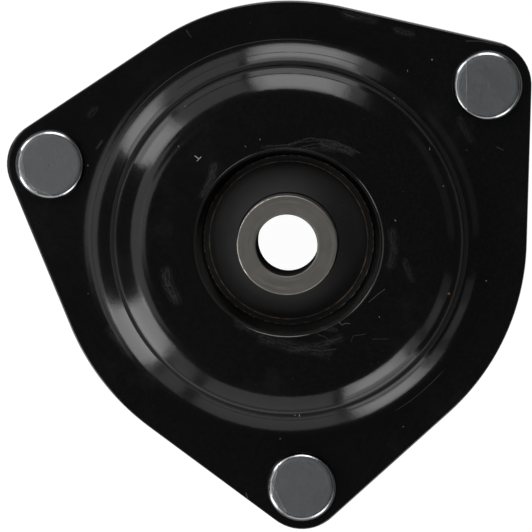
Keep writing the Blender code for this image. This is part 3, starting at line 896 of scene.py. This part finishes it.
def strongest(finish, masks):
    """The strongest of several masks at each place."""
    result = masks[0]
    for mask in masks[1:]:
        result = finish.calc("MAXIMUM", result, mask)
    return result


def round_line(finish, radius, azimuth, line):
    """How strongly one fine line round the bush shows at a place."""
    at, half_width, strength, start, end = line
    mask = finish.calc("MULTIPLY", finish.ring(radius, at * MM, half_width * MM), strength)
    if end - start >= 360:
        return mask
    return finish.calc("MULTIPLY", mask, sector(finish, azimuth, start, end))


def sector(finish, azimuth, start, end):
    """1 between two azimuths in degrees, with soft ends."""
    turned = finish.calc("SUBTRACT", azimuth, math.radians((start + end) / 2))
    away = finish.calc("ABSOLUTE", finish.calc("WRAP", turned, math.pi, -math.pi))
    half = math.radians((end - start) / 2)
    return finish.ramp(away, half, half - math.radians(LINE_FADE))


def gloss_black_paint():
    """Stoved gloss black paint on the pressing: orange peel, press lines, rubs, scratches and dust, with
    painted highlights on fine lines of the foot and wall, and painted light on the wall of the hole.
    """
    finish = Finish("gloss_black_paint")
    flat, radius, azimuth = finish.from_axis(BUSH_AXIS)
    facing = finish.add("ShaderNodeSeparateXYZ", {"Vector": finish.facing}).outputs["Z"]
    spring_side = finish.calc("GREATER_THAN", facing, -0.15)

    breaks = finish.noise(240.0, 2.0)
    rub_grain = finish.ramp(finish.noise(2400.0, 4.0, 0.7), 0.25, 0.65)
    rubs = strongest(finish, [stroke_mask(finish, flat, stroke) for stroke in RUBS])
    scratches = strongest(finish, [stroke_mask(finish, flat, stroke) for stroke in SCRATCHES])
    marks = finish.calc("MAXIMUM", finish.calc("MULTIPLY", rubs, rub_grain), scratches)
    marks = finish.calc("MULTIPLY", marks, spring_side)
    dust = finish.calc("MULTIPLY", finish.specks(3.1 * MM, 0.20, 0.20 * MM), 0.30)
    fine_dust = finish.calc("MULTIPLY", finish.specks(0.8 * MM, 0.20, 0.10 * MM), 0.06)
    haze = finish.ramp(finish.noise(60.0, 5.0, 0.62), 0.52, 0.78, 0.0, 0.010)
    # Painted highlights: fine round lines on the foot and the wall made pale in the colour
    bright = [round_line(finish, radius, azimuth, line) for line in BRIGHT_LINES]
    pale = strongest(finish, [marks, dust, fine_dust] + bright)
    pale = finish.calc("ADD", pale, haze, clamp=True)

    # Painted light: the hole's wall and the inside of its rolled edge are made paler, lifting their shade
    hole_light_start = HOLE_RADIUS + HOLE_LIGHT_START
    hole_wall_light = finish.ramp(radius, hole_light_start, HOLE_RADIUS + HOLE_LIGHT_FULL, 0.0, 0.05)
    pale = finish.calc("ADD", pale, hole_wall_light, clamp=True)

    grain = finish.ramp(finish.noise(1500.0, 2.0), 0.35, 0.65)
    black = finish.blend(grain, (0.0022, 0.0022, 0.0024), (0.0040, 0.0038, 0.0039))
    colour = finish.blend(pale, black, (0.50, 0.50, 0.50))
    rust_place = seen_at(RUST_SPECK, RUST_LEVEL) - BUSH_AXIS
    rust_away = finish.vector("DISTANCE", flat, (rust_place.x, rust_place.y, 0.0))
    rust = finish.calc("MULTIPLY", finish.ramp(rust_away, RUST_REACH, RUST_CORE), spring_side)
    colour = finish.blend(rust, colour, (0.20, 0.10, 0.04))

    rough = finish.ramp(finish.noise(35.0, 4.0), 0.3, 0.7, 0.11, 0.16)
    rough = finish.calc("ADD", rough, finish.calc("MULTIPLY", pale, 0.5), clamp=True)

    lines = strongest(finish, [round_line(finish, radius, azimuth, line) for line in PRESS_LINES])
    dull = finish.calc("MULTIPLY", lines, finish.ramp(breaks, 0.30, 0.55, 0.6, 1.0))
    shine = finish.calc("MULTIPLY_ADD", dull, -0.5, 0.5)
    rough = finish.calc("MULTIPLY_ADD", dull, 0.2, rough, clamp=True)
    crease_side = finish.calc("ABSOLUTE", finish.calc("SUBTRACT", radius, CREASE_RADIUS))
    crease = finish.ramp(crease_side, CREASE_HALF_WIDTH + CREASE_EDGE, CREASE_HALF_WIDTH - CREASE_EDGE)
    crease = finish.calc("MULTIPLY", crease, spring_side)
    rough = finish.calc("MULTIPLY_ADD", crease, 0.6, rough, clamp=True)
    shine = finish.calc("MULTIPLY_ADD", crease, -0.25, shine, clamp=True)
    normal = finish.height(finish.noise(420.0, 2.0), 0.012 * MM)
    normal = finish.height(finish.noise(1700.0, 2.0), 0.0012 * MM, normal)
    return finish.set(Base_Color=colour, Roughness=rough, Normal=normal, IOR=1.5, Specular_IOR_Level=shine)


def satin_black_paint():
    """Thinner black paint on the cup, with a faint texture and some dust."""
    finish = Finish("satin_black_paint")
    cloud = finish.ramp(finish.noise(90.0, 5.0, 0.6), 0.35, 0.7)
    black = finish.blend(cloud, (0.0060, 0.0060, 0.0065), (0.011, 0.011, 0.0115))
    dust = finish.calc("MULTIPLY", finish.specks(2.6 * MM, 0.2, 0.14 * MM), 0.4)
    colour = finish.blend(dust, black, (0.45, 0.44, 0.42))
    rough = finish.ramp(finish.noise(50.0, 4.0), 0.3, 0.7, 0.24, 0.36)
    normal = finish.height(finish.noise(520.0, 3.0), 0.016 * MM)
    return finish.set(Base_Color=colour, Roughness=rough, Normal=normal, IOR=1.5)


def coin_edge_highlights(finish, flat, chords):
    """Painted highlights along the straight edges of the coined flat, where their fine ridges catch the
    light. Each ends where it meets the next one.
    """
    reaches = []
    for degrees, distance in chords:
        outward = (math.cos(math.radians(degrees)), math.sin(math.radians(degrees)), 0.0)
        reach = finish.vector("DOT_PRODUCT", flat, outward)
        reaches.append(finish.calc("SUBTRACT", reach, distance * MM))
    edges = []
    for index, reach in enumerate(reaches):
        edge = finish.ramp(finish.calc("ABSOLUTE", reach), COIN_RIDGE, 0.0)
        for other in reaches[:index] + reaches[index + 1:]:
            edge = finish.calc("MULTIPLY", edge, finish.ramp(other, COIN_RIDGE, 0.0))
        edges.append(edge)
    return strongest(finish, edges)


def zinc_plate(name, centre, chords):
    """Zinc plating on a forged stud: satin with wiping marks on the coined face, brighter on the rim, with
    painted highlights along the coined flat's straight edges and painted shade on the rim's outer part.
    """
    finish = Finish(name)
    flat, radius, azimuth = finish.from_axis(centre)
    mottle = finish.ramp(finish.noise(420.0, 5.0, 0.65), 0.30, 0.70)
    cloud = finish.ramp(finish.noise(120.0, 3.0, 0.5), 0.30, 0.70)
    turned = finish.add(
        "ShaderNodeCombineXYZ",
        {"X": finish.calc("MULTIPLY", radius, 3000.0), "Y": azimuth},
    ).outputs[0]
    rings = finish.noise(1.0, 2.0, place=turned)
    brushed_place = finish.vector("MULTIPLY", finish.place, (500.0, 5200.0, 500.0))
    brushed = finish.noise(1.0, 3.0, 0.6, brushed_place)
    wiped = finish.calc("MULTIPLY_ADD", rings, 0.4, finish.calc("MULTIPLY", brushed, 0.6))
    zinc = finish.blend(mottle, (0.215, 0.225, 0.235), (0.285, 0.296, 0.307))
    zinc = finish.blend(finish.calc("MULTIPLY", cloud, 0.35), zinc, (0.21, 0.22, 0.23))
    rim_start = STUD_HEAD_RADIUS - STUD_HEAD_ROUND - 0.1 * MM
    rim = finish.ramp(radius, rim_start, rim_start + 0.5 * MM)
    zinc = finish.blend(rim, zinc, (0.46, 0.47, 0.48))
    on_flat = finish.calc("SUBTRACT", 1.0, rim)
    # Painted highlights along the coined flat's edges, over their real fine ridges
    edges = finish.calc("MULTIPLY", coin_edge_highlights(finish, flat, chords), on_flat)
    edges = finish.calc("MULTIPLY", edges, finish.ramp(mottle, 0.0, 1.0, 0.3, 0.9))
    zinc = finish.blend(edges, zinc, (0.52, 0.53, 0.54))
    # Painted shade: the outer part of the rim and the top of the head's side are darkened, standing in for a
    # dark reflection
    rim_shade = finish.ramp(radius, STUD_HEAD_RADIUS - RIM_SHADE_START, STUD_HEAD_RADIUS - RIM_SHADE_FULL)
    height = finish.add("ShaderNodeSeparateXYZ", {"Vector": finish.place}).outputs["Z"]
    side_top = FLANGE_LEVEL + SEAT_GAP + STUD_HEAD_THICKNESS - RIM_SHADE_DEPTH
    rim_shade = finish.calc("MULTIPLY", rim_shade, finish.ramp(height, side_top - RIM_SHADE_FADE, side_top))
    zinc = finish.blend(rim_shade, zinc, (0.050, 0.053, 0.056))
    satin = finish.ramp(mottle, 0.0, 1.0, 0.46, 0.40)
    rough = finish.calc("MULTIPLY_ADD", rim, -0.22, satin)
    normal = finish.height(wiped, 0.014 * MM)
    normal = finish.height(finish.noise(1300.0, 4.0), 0.016 * MM, normal)
    return finish.set(Base_Color=zinc, Roughness=rough, Metallic=1.0, Normal=normal)


def turned_steel():
    """Bare steel turned on a lathe: fine rings on the face, a warm grey tone and small dark pits, with
    painted shade in the bore and a painted highlight on the burr.
    """
    finish = Finish("turned_steel")
    flat, radius, azimuth = finish.from_axis(BUSH_AXIS)
    ring_place = finish.add(
        "ShaderNodeCombineXYZ",
        {"X": finish.calc("MULTIPLY", radius, 5200.0), "Y": finish.calc("MULTIPLY", azimuth, 0.6)},
    ).outputs[0]
    rings = finish.noise(1.0, 2.0, 0.5, ring_place)
    stain = finish.ramp(finish.noise(260.0, 4.0, 0.6), 0.35, 0.7)
    steel = finish.blend(finish.ramp(rings, 0.35, 0.65), (0.208, 0.196, 0.178), (0.252, 0.239, 0.218))
    steel = finish.blend(finish.calc("MULTIPLY", stain, 0.35), steel, (0.165, 0.151, 0.133))
    pits = finish.specks(1.1 * MM, 0.14, 0.12 * MM)
    steel = finish.blend(finish.calc("MULTIPLY", pits, 0.5), steel, (0.05, 0.045, 0.04))
    # Painted shade: the bore's wall is darkened and made non-metallic, standing in for the shadow inside it
    inside = finish.ramp(radius, BORE_RADIUS + BORE_SHADE_START, BORE_RADIUS + BORE_SHADE_FULL)
    steel = finish.blend(inside, steel, (0.018, 0.017, 0.016))
    # Painted highlight on the burr at the collar's outer edge, only on the lit side
    edge = finish.ring(radius, COLLAR_RADIUS - BURR_WIDTH, BURR_WIDTH)
    edge = finish.calc("MULTIPLY", edge, sector(finish, azimuth, *BURR_AZIMUTHS))
    burr = finish.calc("MULTIPLY", edge, finish.ramp(finish.noise(900.0, 3.0, 0.7), 0.42, 0.58))
    steel = finish.blend(burr, steel, (0.62, 0.60, 0.56))
    metal = finish.calc("MULTIPLY_ADD", inside, -1.0, 1.0)
    rough = finish.ramp(rings, 0.3, 0.7, 0.44, 0.54)
    normal = finish.height(rings, 0.006 * MM)
    looks = {"Base_Color": steel, "Roughness": rough, "Metallic": metal, "Normal": normal}
    return finish.set(**looks, Specular_IOR_Level=0.0)


def moulded_rubber():
    """Black rubber with a matt mould skin, darker on the land. Fine rust dust has settled on the flash
    lines. Painted light makes the foot of the cone and the groove paler where they lie in shade.
    """
    finish = Finish("moulded_rubber")
    flat, radius, azimuth = finish.from_axis(BUSH_AXIS)
    skin = finish.ramp(finish.noise(1400.0, 3.0, 0.6), 0.35, 0.7)
    rubber = finish.blend(skin, (0.0078, 0.0074, 0.0074), (0.0128, 0.0121, 0.0121))
    # Painted light: the foot of the cone is made paler, against the shade that the plate's edge casts on it
    cone_foot_light = finish.ramp(radius, CONE_LIGHT_START, STEP_RADIUS - MOULD_STEP)
    cone_foot_light = finish.calc("MULTIPLY", cone_foot_light, finish.calc("LESS_THAN", radius, STEP_RADIUS))
    rubber = finish.blend(cone_foot_light, rubber, (0.026, 0.025, 0.025))
    on_land = finish.calc("GREATER_THAN", radius, STEP_RADIUS)
    rubber = finish.blend(finish.calc("MULTIPLY", on_land, 0.5), rubber, (0.004, 0.004, 0.004))
    broken = finish.ramp(finish.noise(700.0, 3.0, 0.7), 0.42, 0.60)
    inner_line = finish.calc("MULTIPLY", finish.ring(radius, STEP_RADIUS - 0.10 * MM, 0.26 * MM), 0.75)
    rubber = finish.blend(finish.calc("MULTIPLY", inner_line, broken), rubber, (0.20, 0.125, 0.075))
    outer_line = finish.calc("MULTIPLY", finish.ring(radius, LAND_RADIUS - 0.08 * MM, 0.22 * MM), 0.8)
    dotted = finish.ramp(finish.noise(1100.0, 2.0, 0.7), 0.48, 0.60)
    rubber = finish.blend(finish.calc("MULTIPLY", outer_line, dotted), rubber, (0.22, 0.19, 0.16))
    # Painted light: the groove under the plate's lip is made paler, lifting its shade
    in_groove = finish.ramp(radius, LAND_RADIUS, LAND_RADIUS + 0.3 * MM)
    rubber = finish.blend(in_groove, rubber, (0.11, 0.105, 0.10))
    dust = finish.calc("MULTIPLY", finish.specks(1.7 * MM, 0.22, 0.12 * MM), 0.5)
    rubber = finish.blend(dust, rubber, (0.20, 0.19, 0.17))
    rough = finish.ramp(skin, 0.0, 1.0, 0.62, 0.76)
    normal = finish.height(finish.noise(1800.0, 3.0), 0.030 * MM)
    return finish.set(Base_Color=rubber, Roughness=rough, Normal=normal, IOR=1.38)


def phosphate_coat():
    """Dark crystalline phosphate on the steel pieces inside the bush."""
    finish = Finish("phosphate_coat")
    crystals = finish.ramp(finish.noise(2600.0, 3.0, 0.7), 0.35, 0.65)
    cloud = finish.ramp(finish.noise(150.0, 4.0), 0.35, 0.65)
    coat = finish.blend(crystals, (0.040, 0.040, 0.042), (0.085, 0.084, 0.082))
    coat = finish.blend(finish.calc("MULTIPLY", cloud, 0.4), coat, (0.030, 0.030, 0.032))
    rough = finish.ramp(crystals, 0.0, 1.0, 0.5, 0.68)
    normal = finish.height(crystals, 0.010 * MM)
    return finish.set(Base_Color=coat, Roughness=rough, Metallic=0.55, Normal=normal)


def dress_the_part():
    """Every piece with its finish."""
    phosphate = phosphate_coat()
    pressed_plate(gloss_black_paint())
    pressed_cup(satin_black_paint())
    bonded_ring(phosphate)
    rubber_bush(moulded_rubber())
    dished_disc(phosphate)
    turned_collar(turned_steel())
    for name, centre in STUD_CENTRES.items():
        chords = COIN_CHORDS[name]
        press_in_stud(name, zinc_plate(f"zinc_plate_{name}", centre, chords), chords)


def pale_floor():
    """A pale floor that seen rays find white, and that keeps the part's shadow."""
    floor = bmesh.new()
    bmesh.ops.create_grid(floor, x_segments=1, y_segments=1, size=FLOOR_HALF_SIZE)
    mesh = bpy.data.meshes.new("floor")
    floor.to_mesh(mesh)
    floor.free()
    material = bpy.data.materials.new("pale_floor")
    material.use_nodes = True
    nodes = material.node_tree.nodes
    links = material.node_tree.links
    nodes.clear()
    output = nodes.new("ShaderNodeOutputMaterial")
    lit = nodes.new("ShaderNodeBsdfDiffuse")
    lit.inputs["Color"].default_value = FLOOR_LIT_COLOUR
    shadow = nodes.new("ShaderNodeBsdfDiffuse")
    shadow.inputs["Color"].default_value = FLOOR_SHADOW_COLOUR
    white = nodes.new("ShaderNodeEmission")
    white.inputs["Strength"].default_value = FLOOR_WHITE
    seen = nodes.new("ShaderNodeAddShader")
    links.new(shadow.outputs[0], seen.inputs[0])
    links.new(white.outputs[0], seen.inputs[1])
    mix = nodes.new("ShaderNodeMixShader")
    links.new(seen_ray(nodes, links), mix.inputs[0])
    links.new(lit.outputs[0], mix.inputs[1])
    links.new(seen.outputs[0], mix.inputs[2])
    links.new(mix.outputs[0], output.inputs["Surface"])
    mesh.materials.append(material)
    piece = bpy.data.objects.new("floor", mesh)
    bpy.context.scene.collection.objects.link(piece)


def seen_ray(nodes, links):
    """1 for what is seen straight, in a reflection or through glass."""
    path = nodes.new("ShaderNodeLightPath")
    total = path.outputs["Is Camera Ray"]
    for kind in ("Is Glossy Ray", "Is Transmission Ray"):
        either = nodes.new("ShaderNodeMath")
        either.operation = "MAXIMUM"
        links.new(total, either.inputs[0])
        links.new(path.outputs[kind], either.inputs[1])
        total = either.outputs[0]
    return total


def studio_world():
    """A dim room, the same for every ray."""
    world = bpy.data.worlds.new("studio")
    bpy.context.scene.world = world
    world.use_nodes = True
    room = world.node_tree.nodes["Background"]
    room.inputs["Color"].default_value = (1.0, 1.0, 1.0, 1.0)
    room.inputs["Strength"].default_value = ROOM_LEVEL


def soft_panel(name, width, height, level, offset, facing):
    """A rectangular panel of even brightness that faces the part."""
    light = bpy.data.lights.new(name, "AREA")
    light.shape = "RECTANGLE"
    light.size = width
    light.size_y = height
    light.energy = level * width * height * math.pi
    panel = bpy.data.objects.new(name, light)
    panel.location = CAMERA_AIM + offset
    panel.rotation_euler = facing.to_track_quat("Z", "Y").to_euler()
    bpy.context.scene.collection.objects.link(panel)


def upright_panel(name, start, end, low, high, level):
    """A panel on a stand: it fills the same azimuths from its foot to its top."""
    azimuth = math.radians((start + end) / 2)
    outward = Vector((math.cos(azimuth), math.sin(azimuth), 0.0))
    foot = PANEL_DISTANCE * math.tan(math.radians(low))
    top = PANEL_DISTANCE * math.tan(math.radians(high))
    width = 2 * PANEL_DISTANCE * math.tan(math.radians((end - start) / 2))
    offset = outward * PANEL_DISTANCE + Vector((0.0, 0.0, (foot + top) / 2))
    soft_panel(name, width, top - foot, level, offset, outward)


def ceiling_card(name, start, end, low, high, level):
    """A card hung slantwise over the part."""
    azimuth = math.radians((start + end) / 2)
    elevation = math.radians((low + high) / 2)
    across = math.cos(elevation)
    outward = Vector((across * math.cos(azimuth), across * math.sin(azimuth), math.sin(elevation)))
    width = 2 * PANEL_DISTANCE * across * math.tan(math.radians((end - start) / 2))
    height = 2 * PANEL_DISTANCE * math.tan(math.radians((high - low) / 2))
    soft_panel(name, width, height, level, outward * PANEL_DISTANCE, outward)


def camera():
    """The camera at the photograph's angle."""
    back, right, up = camera_axes()
    lens = bpy.data.cameras.new("camera")
    lens.lens = CAMERA_LENS
    lens.sensor_width = CAMERA_SENSOR
    lens.sensor_fit = "HORIZONTAL"
    lens.clip_start = 0.01
    lens.clip_end = 20.0
    eye = bpy.data.objects.new("camera", lens)
    eye.location = CAMERA_AIM + back * CAMERA_DISTANCE
    eye.rotation_euler = Matrix((right, up, back)).transposed().to_euler()
    bpy.context.scene.collection.objects.link(eye)
    bpy.context.scene.camera = eye


def studio():
    """Floor, world, panels and camera."""
    pale_floor()
    studio_world()
    for panel in UPRIGHT_PANELS:
        upright_panel(*panel)
    for card in CEILING_CARDS:
        ceiling_card(*card)
    camera()
    bpy.context.scene.view_settings.view_transform = "Standard"


dress_the_part()
studio()
